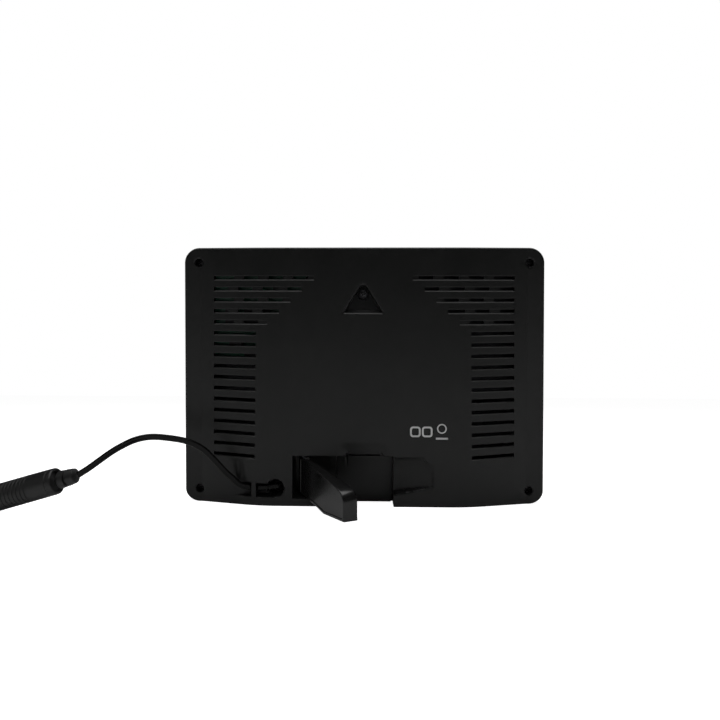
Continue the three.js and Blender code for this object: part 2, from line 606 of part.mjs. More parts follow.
const FINISH = {
  case: finish(0x1b1c1b, 0.6), leg: finish(0x222322, 0.45), gloss: finish(0x0a0a0b, 0.15),
  glass: finish(0x10131a, 0.05), diffuser: finish(0xe8eaec, 0.5), steel: finish(0xb9bcc0, 0.35, 1),
  darkSteel: finish(0x3a3a3c, 0.4, 0.9), board: finish(0x1f6b46, 0.5), chip: finish(0x17181a, 0.55),
  can: finish(0xc4c7cb, 0.3, 0.9), rubber: finish(0x161616, 0.75), ribbon: finish(0xd8d2c0, 0.6),
  cone: finish(0x202226, 0.8), remote: finish(0x2a0c10, 0.1), brass: finish(0xc9a14a, 0.3, 1),
};

const frame = new THREE.Group();
const panel = new THREE.Group();
panel.rotation.x = -LEAN;
frame.add(panel);

function add(parent, name, shape, material) {
  const mesh = new THREE.Mesh(geometryOf(shape), material);
  mesh.name = name;
  parent.add(mesh);
  return mesh;
}

add(panel, "rear_cover", rearCover(), FINISH.case);
add(panel, "front_bezel", frontBezel(), FINISH.gloss);
add(panel, "lcd_glass", lcdGlass(), FINISH.glass);
add(panel, "lcd_backlight", lcdBacklight(), FINISH.diffuser);
add(panel, "lcd_chassis", lcdChassis(), FINISH.steel);
add(panel, "main_board", mainBoard(), FINISH.board);
add(panel, "processor_chip", chip(57, 99, 14, 14, 1.3), FINISH.chip);
add(panel, "memory_chip", chip(38, 104, 11, 8, 1.1), FINISH.chip);
add(panel, "flash_chip", chip(39, 89, 12, 18, 1.1), FINISH.chip);
add(panel, "capacitor_large", canCapacitor(52, 80.5, 3, 5), FINISH.can);
add(panel, "capacitor_small", canCapacitor(46, 113, 2.2, 2.6), FINISH.can);
add(panel, "power_coil", chip(68, 84, 7, 7, 3), FINISH.chip);
add(panel, "clock_crystal", chip(71.5, 99, 5, 11, 1.4), FINISH.can);
add(panel, "lead_header", chip(60.5, 79, 6, 4, 3.2), FINISH.diffuser);
add(panel, "card_reader", cardReader(), FINISH.steel);
add(panel, "usb_port", usbPort(), FINISH.steel);
add(panel, "keypad_board", keypadBoard(), FINISH.board);
add(panel, "remote_window", remoteWindow(), FINISH.remote);
add(panel, "remote_receiver", remoteReceiver(), FINISH.chip);
KEYS.names.forEach((name, i) => {
  add(panel, `${name}_key`, keyCap(KEY_X[i]), FINISH.case);
  add(panel, `${name}_switch`, tactSwitch(KEY_X[i]), FINISH.darkSteel);
});
add(panel, "speaker_left", speaker(-1), FINISH.cone);
add(panel, "speaker_right", speaker(1), FINISH.cone);
cornerScrews.forEach(([x, z], i) => {
  add(panel, `case_screw_${i + 1}`, screw(x, z, SCREW.seatY + GAP, CASE_SCREW), FINISH.darkSteel);
});
add(panel, "hanger_screw", screw(0, HANGER.screwZ, HANGER.floorY + GAP, HANGER_SCREW), FINISH.darkSteel);
boardScrews.forEach(([x, z], i) => {
  add(panel, `board_screw_${i + 1}`, boardScrew(x, z), FINISH.steel);
});
add(panel, "lead_grommet", leadGrommet(), FINISH.rubber);

const legAxis = new THREE.Group();
legAxis.position.set(LEG.axisX, LEG.axisY, 0);
legAxis.rotation.z = -LEG.swing;
panel.add(legAxis);
add(legAxis, "stand_leg", standLeg(), FINISH.leg);
add(panel, "leg_hinge_pin", hingePin(), FINISH.steel);
add(panel, "leg_friction_washer", frictionWasher(), FINISH.steel);
add(panel, "lcd_ribbon", lcdRibbon(), FINISH.ribbon);
add(panel, "inner_lead", innerLead(), FINISH.rubber);

add(frame, "power_lead", powerLead(), FINISH.rubber);
const socket = new THREE.Group();
const aim = new THREE.Vector3(...SOCKET.aim).normalize();
socket.position.set(...LEAD_ROUTE.at(-1));
socket.quaternion.setFromUnitVectors(new THREE.Vector3(0, 1, 0), aim);
frame.add(socket);
add(socket, "lead_boot", leadBoot(), FINISH.rubber);
add(socket, "dc_socket_body", socketBody(), FINISH.rubber);
add(socket, "dc_socket_sleeve", socketSleeve(), FINISH.brass);
add(socket, "dc_socket_pin", socketPin(), FINISH.brass);

// The origin is on the table, under the middle of the standing frame without its lead.
frame.updateMatrixWorld(true);
const footprint = new THREE.Box3().setFromObject(panel, true);
frame.position.y = -(footprint.min.y + footprint.max.y) / 2;

export default frame;
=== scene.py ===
"""Digital photo frame, seen from its back: the looks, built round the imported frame.

Lengths are millimetres until to_row() turns them into the row's metres. The "panel" axes are
x across, y out of the back and z up the case, which leans back by LEAN.
"""
import math

import bmesh
import bpy
import numpy as np
from mathutils import Matrix, Vector


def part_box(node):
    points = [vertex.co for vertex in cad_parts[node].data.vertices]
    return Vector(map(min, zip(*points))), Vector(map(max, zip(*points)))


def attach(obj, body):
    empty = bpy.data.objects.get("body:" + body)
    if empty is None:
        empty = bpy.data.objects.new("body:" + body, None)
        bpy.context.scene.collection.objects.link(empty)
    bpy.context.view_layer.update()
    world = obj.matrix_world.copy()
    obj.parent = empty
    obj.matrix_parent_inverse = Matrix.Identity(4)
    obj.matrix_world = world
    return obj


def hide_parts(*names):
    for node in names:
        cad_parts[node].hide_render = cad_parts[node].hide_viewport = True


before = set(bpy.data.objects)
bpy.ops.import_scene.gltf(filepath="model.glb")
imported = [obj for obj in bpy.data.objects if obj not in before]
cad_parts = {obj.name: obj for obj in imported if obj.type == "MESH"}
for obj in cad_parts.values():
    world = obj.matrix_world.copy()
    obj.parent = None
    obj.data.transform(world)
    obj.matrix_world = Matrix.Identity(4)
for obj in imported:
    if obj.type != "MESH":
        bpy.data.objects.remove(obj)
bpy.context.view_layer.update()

# ---- the case, as in the CAD --------------------------------------------------------------
MM = 0.001
LEAN = math.radians(10.3)
COS, SIN, TAN = math.cos(LEAN), math.sin(LEAN), math.tan(LEAN)
WIDTH, HEIGHT, CORNER_R, WALL = 190.0, 135.0, 8.0, 2.0
COVER_FRONT_Y = -9.5
MARGIN_X, BULGE, BULGE_SLOPE, BULGE_TOP_SHARE, KNEE = 86.0, 10.65, 0.32, 0.26, 9.0
GLASS_Y, GLASS_Z = -16.5, 21.5  # low corner of the display's glass

SCREW_X, SCREW_Z, SCREW_HOLE_R, SCREW_FLOOR = 87.2, (6.86, HEIGHT - 7.95), 2.2, -4.3
VENT_TOP, VENT_PITCH, VENT_HALF, VENT_OUTER, VENT_INNER, VENT_ROWS = 119.15, 5.787, 0.85, 79.0, 56.0, 17
VENT_STEPS = [25.8, 32.0, 37.9, 44.0, 49.9]
VENT_LIP, VENT_LIP_DROP, VENT_LIP_GAIN, VENT_FLOOR = 0.62, 0.53, 0.16, 0.7
VENT_ROUND = 0.16  # radius of a vent's top edge
BRIDGE_WIDTH, BRIDGE_PITCH, BRIDGE_FIRST = 5.4, 13.1, (65.5, 68.6)
BAY_X, BAY_STEP, BAY_RAMP, BAY_Z = (-15.7, 36.2), 18.0, 14.3, (5.8, 27.3)
BAY_FLOOR, RAMP_FLOOR, HINGE_FLOOR = -2.5, -1.2, -3.4
NOTCH_MID, NOTCH_BOX, NOTCH_FLOOR = -0.5, (-9.8, 8.8, 20.0, 29.3), 5.0
NOTCH_SHADOW = 24.1  # the bay's floor drops above this, just under what the notch lets show
SHADOW_GAP, SHADOW_FLOOR = 1.1, -4.3  # along the bay's far side and under its notch
SCOOP_TOP, SCOOP_FAR = 26.8, 36.3
KEYHOLE = (45.0, 10.8, 4.55)  # its middle across and up, and its radius
KEYHOLE_FLOOR = 1.9
CHANNEL_Z, CHANNEL_END, CHANNEL_FLOOR = (5.9, 13.1), 67.0, 4.2
STRAP_X, STRAP_UNDER = (55.2, 57.8), 6.9
HANGER_BASE, HANGER_HALF, HANGER_TOP, HANGER_R, HANGER_FLOOR = 100.15, 10.9, 115.5, 2.2, 1.0
HANGER_SLOPE, HANGER_SCREW_Z = 1.8, 111.0
EDGE_ROUND = 1.1  # radius of the cover's outer edge
FOOT_STEP = 0.3  # how far the lower edge lies in from the back
LEG_X, LEG_Y, LEG_R, LEG_SWING, LEG_LENGTH = 30.5, 3.6, 3.2, math.radians(56.5), 45.6

# The CAD moves the panel along y to centre it over its footprint, which the glass gives back.
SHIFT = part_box("lcd_glass")[0].y / MM - (GLASS_Y * COS + GLASS_Z * SIN)


def to_row(points):
    """Panel millimetres to row metres."""
    x, y, z = np.moveaxis(np.asarray(points, float), -1, 0)
    return np.stack([x, y * COS + z * SIN + SHIFT, z * COS - y * SIN], -1) * MM


# ---- camera -------------------------------------------------------------------------------
EYE = (5.724, 287.0, 113.752)  # panel millimetres, x to the left of the picture
TURN = (math.radians(-0.94), math.radians(1.18), math.radians(0.051))  # pitch, yaw, roll
LENS, SHIFT_X, SHIFT_Y = 27.216, -0.0042, -0.0875


def make_camera():
    data = bpy.data.cameras.new("camera")
    data.lens = LENS
    data.sensor_width = 36.0
    data.shift_x = SHIFT_X
    data.shift_y = SHIFT_Y
    data.clip_start = 0.01
    camera = bpy.data.objects.new("camera", data)
    square_on = Matrix(((-1, 0, 0), (0, SIN, COS), (0, COS, -SIN)))  # columns: right, up, back
    pitch, yaw, roll = TURN
    aim = Matrix.Rotation(yaw, 3, "Y") @ Matrix.Rotation(pitch, 3, "X") @ Matrix.Rotation(roll, 3, "Z")
    place = to_row((-EYE[0], EYE[1], EYE[2]))
    camera.matrix_world = Matrix.Translation(place) @ (square_on @ aim).to_4x4()
    bpy.context.scene.collection.objects.link(camera)
    bpy.context.scene.camera = camera


make_camera()


# ---- materials ----------------------------------------------------------------------------
def new_material(name):
    material = bpy.data.materials.new(name)
    material.use_nodes = True
    tree = material.node_tree
    return material, tree, tree.nodes["Principled BSDF"]


def noise(tree, size, detail=2.0, stretch=(1, 1, 1)):
    """Noise whose features are about size millimetres across."""
    place = tree.nodes.new("ShaderNodeTexCoord")
    mapping = tree.nodes.new("ShaderNodeMapping")
    mapping.inputs["Scale"].default_value = stretch
    tree.links.new(place.outputs["Object"], mapping.inputs["Vector"])
    texture = tree.nodes.new("ShaderNodeTexNoise")
    texture.inputs["Scale"].default_value = 1 / (size * MM)
    texture.inputs["Detail"].default_value = detail
    tree.links.new(mapping.outputs["Vector"], texture.inputs["Vector"])
    return texture.outputs["Fac"]


def spread(tree, value, low, high, ends=(0.3, 0.7)):
    """A noise value mapped to the range low to high."""
    ranged = tree.nodes.new("ShaderNodeMapRange")
    ranged.inputs["From Min"].default_value = ends[0]
    ranged.inputs["From Max"].default_value = ends[1]
    ranged.inputs["To Min"].default_value = low
    ranged.inputs["To Max"].default_value = high
    tree.links.new(value, ranged.inputs["Value"])
    return ranged.outputs["Result"]


def bump(tree, shader, height, depth, strength=1.0):
    node = tree.nodes.new("ShaderNodeBump")
    node.inputs["Distance"].default_value = depth * MM
    node.inputs["Strength"].default_value = strength
    tree.links.new(height, node.inputs["Height"])
    tree.links.new(node.outputs["Normal"], shader.inputs["Normal"])


def tint(tree, shader, colours, factor):
    """The base colour drifts between two colours with factor."""
    mix = tree.nodes.new("ShaderNodeMix")
    mix.data_type = "RGBA"
    mix.inputs["A"].default_value = (*colours[0], 1)
    mix.inputs["B"].default_value = (*colours[1], 1)
    tree.links.new(factor, mix.inputs["Factor"])
    tree.links.new(mix.outputs["Result"], shader.inputs["Base Color"])


def plastic(name, colours, roughness, grain=0.3, depth=0.02, specular=0.5, coat=0.0, rub=0.055):
    """Moulded plastic: a fine grain, a slow drift of colour and patches rubbed a little smoother."""
    material, tree, shader = new_material(name)
    tint(tree, shader, colours, spread(tree, noise(tree, 30, 3), 0, 1))
    rubbed = spread(tree, noise(tree, 14, 4), roughness - rub, roughness + rub)
    tree.links.new(rubbed, shader.inputs["Roughness"])
    shader.inputs["Specular IOR Level"].default_value = specular
    shader.inputs["Coat Weight"].default_value = coat
    shader.inputs["Coat Roughness"].default_value = 0.12
    bump(tree, shader, noise(tree, grain, 3), depth, 0.6)
    return material


def metal(name, colour, roughness, stretch=(1, 1, 1), depth=0.01):
    """Metal with darker patches and a fine grain, drawn out along stretch."""
    material, tree, shader = new_material(name)
    darker = tuple(0.72 * c for c in colour)
    tint(tree, shader, (darker, colour), spread(tree, noise(tree, 2.5, 3), 0, 1))
    shader.inputs["Metallic"].default_value = 1.0
    brushed = spread(tree, noise(tree, 0.5, 3, stretch), roughness - 0.08, roughness + 0.1)
    tree.links.new(brushed, shader.inputs["Roughness"])
    bump(tree, shader, noise(tree, 0.3, 2, stretch), depth, 0.5)
    return material


def glass_pane(name, colour, roughness):
    """A dark pane: polished skin over what lies behind it."""
    material, tree, shader = new_material(name)
    tint(tree, shader, (colour, tuple(1.3 * c for c in colour)), spread(tree, noise(tree, 60, 2), 0, 1))
    tree.links.new(spread(tree, noise(tree, 20, 3), roughness, roughness + 0.05), shader.inputs["Roughness"])
    shader.inputs["Coat Weight"].default_value = 1.0
    shader.inputs["Coat Roughness"].default_value = 0.03
    return material


CASE = plastic("case_plastic", ((0.0068, 0.007, 0.0069), (0.0094, 0.0097, 0.0095)), 0.37,
               grain=0.32, depth=0.022, specular=0.36, rub=0.03)
BEZEL = plastic("bezel_plastic", ((0.007, 0.007, 0.0075), (0.009, 0.009, 0.0095)), 0.2, 0.6, 0.004, 0.5, 0.6)
LEG = plastic("leg_plastic", ((0.007, 0.007, 0.007), (0.0095, 0.0095, 0.0095)), 0.25,
              grain=0.25, depth=0.0015, specular=0.45, coat=0.15, rub=0.02)
LEAD = plastic("lead_vinyl", ((0.003, 0.003, 0.003), (0.0045, 0.0045, 0.0045)), 0.2, 0.5, 0.003, 0.2)
SOCKET = plastic("socket_vinyl", ((0.008, 0.008, 0.008), (0.013, 0.013, 0.013)), 0.46, 0.25, 0.03, 0.5)
GROMMET = plastic("grommet_rubber", ((0.004, 0.004, 0.004), (0.006, 0.006, 0.006)), 0.6, 0.3, 0.02, 0.15)
KEY = plastic("key_plastic", ((0.006, 0.006, 0.006), (0.008, 0.008, 0.009)), 0.18, 0.4, 0.003, 0.5, 0.5)
BOARD = plastic("circuit_board", ((0.008, 0.075, 0.04), (0.014, 0.13, 0.075)), 0.35, 1.2, 0.03, 0.5)
CHIP = plastic("chip_plastic", ((0.01, 0.01, 0.012), (0.018, 0.018, 0.02)), 0.55, 0.2, 0.02)
CONE = plastic("speaker_cone", ((0.012, 0.012, 0.014), (0.022, 0.022, 0.026)), 0.75, 0.4, 0.05)
RIBBON = plastic("ribbon", ((0.5, 0.46, 0.38), (0.62, 0.58, 0.48)), 0.5, 0.8, 0.01)
DIFFUSER = plastic("diffuser", ((0.7, 0.72, 0.74), (0.8, 0.82, 0.84)), 0.6, 0.4, 0.01)
INK = plastic("white_ink", ((0.62, 0.62, 0.62), (0.78, 0.78, 0.78)), 0.6, 0.25, 0.01)
REMOTE = glass_pane("remote_plastic", (0.02, 0.004, 0.006), 0.08)
DISPLAY = glass_pane("display_glass", (0.006, 0.007, 0.009), 0.06)
STEEL = metal("bright_steel", (0.5, 0.51, 0.53), 0.32, (1, 6, 1))
DARK_STEEL = metal("blackened_steel", (0.05, 0.05, 0.054), 0.42)
SCREW_STEEL = metal("screw_steel", (0.07, 0.07, 0.073), 0.5)
CAN = metal("can_metal", (0.07, 0.07, 0.074), 0.45)
CONTACT = metal("contact_metal", (0.75, 0.68, 0.55), 0.28)


# ---- making pieces --------------------------------------------------------------------------
def piece(name, points, faces, material, body, smooth=40.0, replaces=()):
    """A mesh piece at row points (metres) that rides on a body."""
    mesh = bpy.data.meshes.new(name)
    mesh.from_pydata([tuple(p) for p in points], [], faces)
    mesh.materials.append(material)
    for polygon in mesh.polygons:
        polygon.use_smooth = True
    mesh.set_sharp_from_angle(angle=math.radians(smooth))
    obj = bpy.data.objects.new(name, mesh)
    bpy.context.scene.collection.objects.link(obj)
    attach(obj, body)
    if replaces:
        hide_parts(*replaces)
    return obj


def rings_to_faces(rings, around, closed_ends=True):
    """Quads between successive rings of points, and a cap on each end."""
    faces = []
    for k in range(rings - 1):
        for i in range(around):
            a, b = k * around + i, k * around + (i + 1) % around
            faces.append((a, b, b + around, a + around))
    if closed_ends:
        faces.append(tuple(reversed(range(around))))
        faces.append(tuple((rings - 1) * around + i for i in range(around)))
    return faces


def turned(profile, start, axis, sides=64):
    """Points and faces of a turned piece: profile is [radius, distance along the axis], in millimetres."""
    axis = Vector(axis).normalized()
    side = axis.orthogonal().normalized()
    other = axis.cross(side)
    points = []
    for r, s in profile:
        for i in range(sides):
            a = 2 * math.pi * i / sides
            points.append(Vector(start) + axis * s + side * (r * math.cos(a)) + other * (r * math.sin(a)))
    return points, rings_to_faces(len(profile), sides)


def bevelled(obj, width, segments=3, angle=32.0):
    modifier = obj.modifiers.new("edges", "BEVEL")
    modifier.width = width * MM
    modifier.segments = segments
    modifier.limit_method = "ANGLE"
    modifier.angle_limit = math.radians(angle)
    modifier.harden_normals = False
    return obj


# ---- the lead: its route is the CAD's --------------------------------------------------------
LEAD_WIDTH, LEAD_THICK, LEAD_WEB = 3.1, 1.7, 0.22
LEAD_ROUTE = [  # level millimetres, before the frame is centred over its footprint
    (44.3, 6.4, 9.2), (50, 7.16, 8.66), (56.9, 7.25, 8.4), (60.3, 8.95, 9.3), (63.6, 11.3, 10.6),
    (67, 12.04, 13.67), (70.3, 13.53, 16.85), (75.5, 16.27, 22.96), (80.2, 18.7, 28.2), (84.2, 20.8, 31.1),
    (88.7, 23.2, 33.3), (96.5, 26.8, 35.1), (104.3, 30, 35.8), (110.8, 31.9, 34.5), (117.3, 33.2, 31.3),
    (121.7, 33.7, 28.5), (126.1, 34.1, 25.2), (131.5, 34.3, 21.2), (136, 34.3, 18.3),
]
SOCKET_AIM = Vector((0.961, -0.048, -0.273)).normalized()
SOCKET_R, BOOT_LENGTH, SOCKET_LENGTH, SOCKET_BORE, SOCKET_BORE_DEPTH, GAP = 6.35, 10.2, 33.6, 3.4, 11.0, 0.3


def level(point):
    """A level point in millimetres, moved as the CAD moves the whole."""
    return Vector((point[0], point[1] + SHIFT, point[2])) * MM


def smooth_route(points, per_span=8):
    """A centripetal Catmull-Rom curve through points."""
    ends = [2 * points[0] - points[1], *points, 2 * points[-1] - points[-2]]
    route = []
    for p0, p1, p2, p3 in zip(ends, ends[1:], ends[2:], ends[3:]):
        t1 = (p1 - p0).length ** 0.5
        t2 = t1 + (p2 - p1).length ** 0.5
        t3 = t2 + (p3 - p2).length ** 0.5
        for k in range(per_span):
            t = t1 + (t2 - t1) * k / per_span
            a1 = p0 * ((t1 - t) / t1) + p1 * (t / t1)
            a2 = p1 * ((t2 - t) / (t2 - t1)) + p2 * ((t - t1) / (t2 - t1))
            a3 = p2 * ((t3 - t) / (t3 - t2)) + p3 * ((t - t2) / (t3 - t2))
            b1 = a1 * ((t2 - t) / t2) + a2 * (t / t2)
            b2 = a2 * ((t3 - t) / (t3 - t1)) + a3 * ((t - t1) / (t3 - t1))
            route.append(b1 * ((t2 - t) / (t2 - t1)) + b2 * ((t - t1) / (t2 - t1)))
    return route + [points[-1]]


def lead_section(steps=9):
    """Two round cores side by side with a groove between them, as (across, out) millimetres."""
    r = LEAD_THICK / 2
    centre = LEAD_WIDTH / 2 - r
    meet = math.acos(-(centre - LEAD_WEB) / r)  # where a core meets the web between the two
    half = []
    for k in range(steps + 1):
        a = -meet + 2 * meet * k / steps
        half.append((centre + r * math.cos(a), r * math.sin(a)))
    return half + [(-a, -b) for a, b in half]


OUT, UP = Vector((0, COS, -SIN)), Vector((0, SIN, COS))  # out of the back and up the panel


def lead_along(route, across=None):
    """The lead's section swept along a route; its flat side faces out of the back, or is set by across."""
    section = lead_section()
    points = []
    for i, centre in enumerate(route):
        tangent = (route[min(i + 1, len(route) - 1)] - route[max(i - 1, 0)]).normalized()
        side = across or OUT.cross(tangent).normalized()
        normal = tangent.cross(side)
        for a, b in section:
            points.append(centre + (side * a + normal * b) * MM)
    return points, rings_to_faces(len(route), len(section))


def make_lead():
    route = smooth_route([level(p) for p in LEAD_ROUTE])
    points, faces = lead_along(route)
    lead = piece("lead_cord", points, faces, LEAD, "case", 60, ["power_lead"])
    length = sum((b - a).length for a, b in zip(route, route[1:]))
    return lead, route, length


def ringed(profile, centres, depth, half):
    """The profile with a groove at each (place along it, radius)."""
    for s, r in centres:
        profile += [(r, s - half), (r - depth, s - half * 0.6), (r - depth, s + half * 0.6), (r, s + half)]
    return profile


def make_connector():
    """The boot with its ring grooves, and the in-line socket with grip rings round its body."""
    start = level(LEAD_ROUTE[-1])
    boot = [(2.0, 0.9), (3.0, 1.0), (3.4, 1.3), (3.6, 2.0)]
    boot = ringed(boot, [(5.2, 3.95)], 0.8, 0.6)
    boot += [(4.25, 8.5), (4.1, 8.75), (2.8, 8.8), (2.7, BOOT_LENGTH)]
    points, faces = turned([(r * MM, s * MM) for r, s in boot], start, SOCKET_AIM)
    boot = piece("lead_boot_rings", points, faces, SOCKET, "case", 35, ["lead_boot"])

    first, last = BOOT_LENGTH + GAP, BOOT_LENGTH + GAP + SOCKET_LENGTH
    body = [(2.9, first + 1.6), (SOCKET_R - 1.2, first + 1.6), (SOCKET_R - 1.2, first),
            (SOCKET_R - 0.6, first), (SOCKET_R - 0.2, first + 0.4), (SOCKET_R - 0.12, first + 1.2)]
    body = ringed(body, [(first + 2.6, SOCKET_R - 0.1)], 0.12, 0.3)
    body = ringed(body, [(first + 12.6 + 1.9 * k, SOCKET_R - 0.02) for k in range(7)], 0.28, 0.42)
    body += [(SOCKET_R, last - 1.0), (SOCKET_R - 0.25, last - 0.3), (SOCKET_R - 0.8, last),
             (SOCKET_BORE + 0.3, last), (SOCKET_BORE, last - 0.3), (SOCKET_BORE, last - SOCKET_BORE_DEPTH)]
    points, faces = turned([(r * MM, s * MM) for r, s in body], start, SOCKET_AIM, 80)
    body = piece("dc_socket_shell", points, faces, SOCKET, "case", 35, ["dc_socket_body"])
    return boot, body


def make_grommet():
    """A rubber ring round the keyhole's floor, and the lead bending down through it."""
    x, z, _ = KEYHOLE
    floor = KEYHOLE_FLOOR + GAP
    sides = 48
    profile = [(2.95, floor + 0.25), (3.05, floor + 0.6), (3.3, floor + 0.8), (3.8, floor + 0.75),
               (4.05, floor + 0.5), (4.1, floor + 0.1), (4.0, floor), (3.0, floor)]
    points, faces = turned([(r * MM, y * MM) for r, y in profile], Vector(to_row((x, 0, z))), OUT, sides)
    last = (len(profile) - 1) * sides
    closing = [(last + i, last + (i + 1) % sides, (i + 1) % sides, i) for i in range(sides)]
    faces = faces[:-2] + closing  # the ring closes on itself in place of two end caps
    first = len(points)
    bend = [(x - 0.7, 4.65, z - 0.6), (x - 1.1, 4.5, z - 0.6), (x - 1.45, 4.05, z - 0.55),
            (x - 1.6, 3.3, z - 0.5), (x - 1.62, 2.0, z - 0.4), (x - 1.62, -0.8, z - 0.3)]
    stub, stub_faces = lead_along(smooth_route([Vector(to_row(p)) for p in bend], 4), UP)
    points += stub
    faces += [tuple(first + k for k in face) for face in stub_faces]
    piece("lead_grommet_ring", points, faces, GROMMET, "case", 40, ["lead_grommet"])


lead, lead_route, lead_length = make_lead()
boot, socket_shell = make_connector()
make_grommet()


# ---- rear cover: one surface over a grid of lines, pierced by the vents ------------------------
def back_y(x, z):
    """How far the plain bulged back stands out."""
    x = np.abs(x)
    slope = BULGE_SLOPE * np.maximum(0, MARGIN_X - x)
    knee = MARGIN_X - BULGE / BULGE_SLOPE
    t = np.clip((knee + KNEE - x) / (2 * KNEE), 0, 1)
    profile = np.where(t <= 0, slope, BULGE - BULGE_SLOPE * KNEE * (1 - t) ** 2)
    return profile * (1 - (1 - BULGE_TOP_SHARE) * z / HEIGHT)


def ease(t):
    t = np.clip(t, 0, 1)
    return t * t * (3 - 2 * t)


def fillet(d, r):
    """How far an edge of radius r has dropped at distance d from it."""
    d = np.clip(d, 0, r)
    return r - np.sqrt(np.maximum(0, r * r - (r - d) ** 2))


def box_distance(x, z, x0, x1, z0, z1, r=0.0):
    qx = np.abs(x - (x0 + x1) / 2) - (x1 - x0) / 2 + r
    qz = np.abs(z - (z0 + z1) / 2) - (z1 - z0) / 2 + r
    return np.hypot(np.maximum(qx, 0), np.maximum(qz, 0)) + np.minimum(np.maximum(qx, qz), 0) - r


def hanger_distance(x, z):
    """From the triangle's two sides and its rounded top."""
    centre = HANGER_TOP - HANGER_R
    rise = centre - HANGER_BASE
    lean = math.acos(HANGER_R / math.hypot(rise, HANGER_HALF)) - math.atan2(rise, HANGER_HALF)
    c, s = math.cos(lean), math.sin(lean)
    x, z = np.abs(x), z - centre
    return np.where(z * c > x * s, np.hypot(x, z), x * c + z * s) - HANGER_R


def scoop_ledge(x):
    """Height of the finger scoop's lower ledge."""
    return 8.6 + 0.192 * (-x - 18.6)


def scoop_border(x, z):
    """From the scoop's top, its slanted corner and its far side."""
    corner = (-x - 31) * 0.735 + (z - 26.2) * 0.678
    return np.maximum.reduce([z - SCOOP_TOP, -x - SCOOP_FAR, corner])


def scoop_distance(x, z):
    return np.maximum(scoop_ledge(x) - z, scoop_border(x, z))


def keyhole_distance(x, z):
    return np.hypot(x - KEYHOLE[0], z - KEYHOLE[1]) - KEYHOLE[2]


def screw_distance(x, z):
    x = np.abs(x)
    return np.minimum(*(np.hypot(x - SCREW_X, z - at) for at in SCREW_Z)) - SCREW_HOLE_R


def vent_stretches(row):
    """The open stretches of a vent row between its bridges."""
    if row >= len(VENT_STEPS):
        return [(VENT_INNER, VENT_OUTER)]
    stretches, end = [], VENT_OUTER
    x = BRIDGE_FIRST[row % 2]
    while x > VENT_STEPS[row]:
        stretches.append((x + BRIDGE_WIDTH / 2, end))
        end = x - BRIDGE_WIDTH / 2
        x -= BRIDGE_PITCH
    if end - VENT_STEPS[row] > 3:
        stretches.append((VENT_STEPS[row], end))
    return stretches


def vent_drop(x, z):
    """A vent row's groove: a square top edge, a recessed floor and a chamfered lower lip."""
    drop = np.zeros_like(x)
    for row in range(VENT_ROWS):
        inner = VENT_STEPS[row] if row < len(VENT_STEPS) else VENT_INNER
        ends = box_distance(np.abs(x), z, inner, VENT_OUTER, -500, 500)
        up = z - (VENT_TOP - row * VENT_PITCH)
        deepest = VENT_LIP_DROP + VENT_LIP_GAIN * row / VENT_ROWS  # the lower rows' lips are steeper
        lip = deepest * np.clip((up + VENT_HALF + VENT_LIP) / VENT_LIP, 0, 1)
        top_edge = fillet(up - VENT_HALF, VENT_ROUND) * (up < VENT_HALF + VENT_ROUND)
        groove = np.where(np.abs(up) < VENT_HALF + 0.005, VENT_FLOOR, np.where(up < 0, lip, top_edge))
        drop = np.maximum(drop, np.where(ends < 0.005, groove, 0))
    return drop


def edge_distance(x, z):
    """Inwards from the case's outline at the sides and the top."""
    qx = np.abs(x) - (WIDTH / 2 - CORNER_R)
    qz = z - (HEIGHT - CORNER_R)
    return CORNER_R - (np.hypot(np.maximum(qx, 0), np.maximum(qz, 0)) + np.minimum(np.maximum(qx, qz), 0))


def pocket(y, d, floor, edge=0.25):
    """Sinks y to floor inside d < 0, with a rounded rim."""
    rim = y - fillet(d, edge) * (d < edge)
    return np.where(d < -0.02, np.minimum(floor, y), rim)


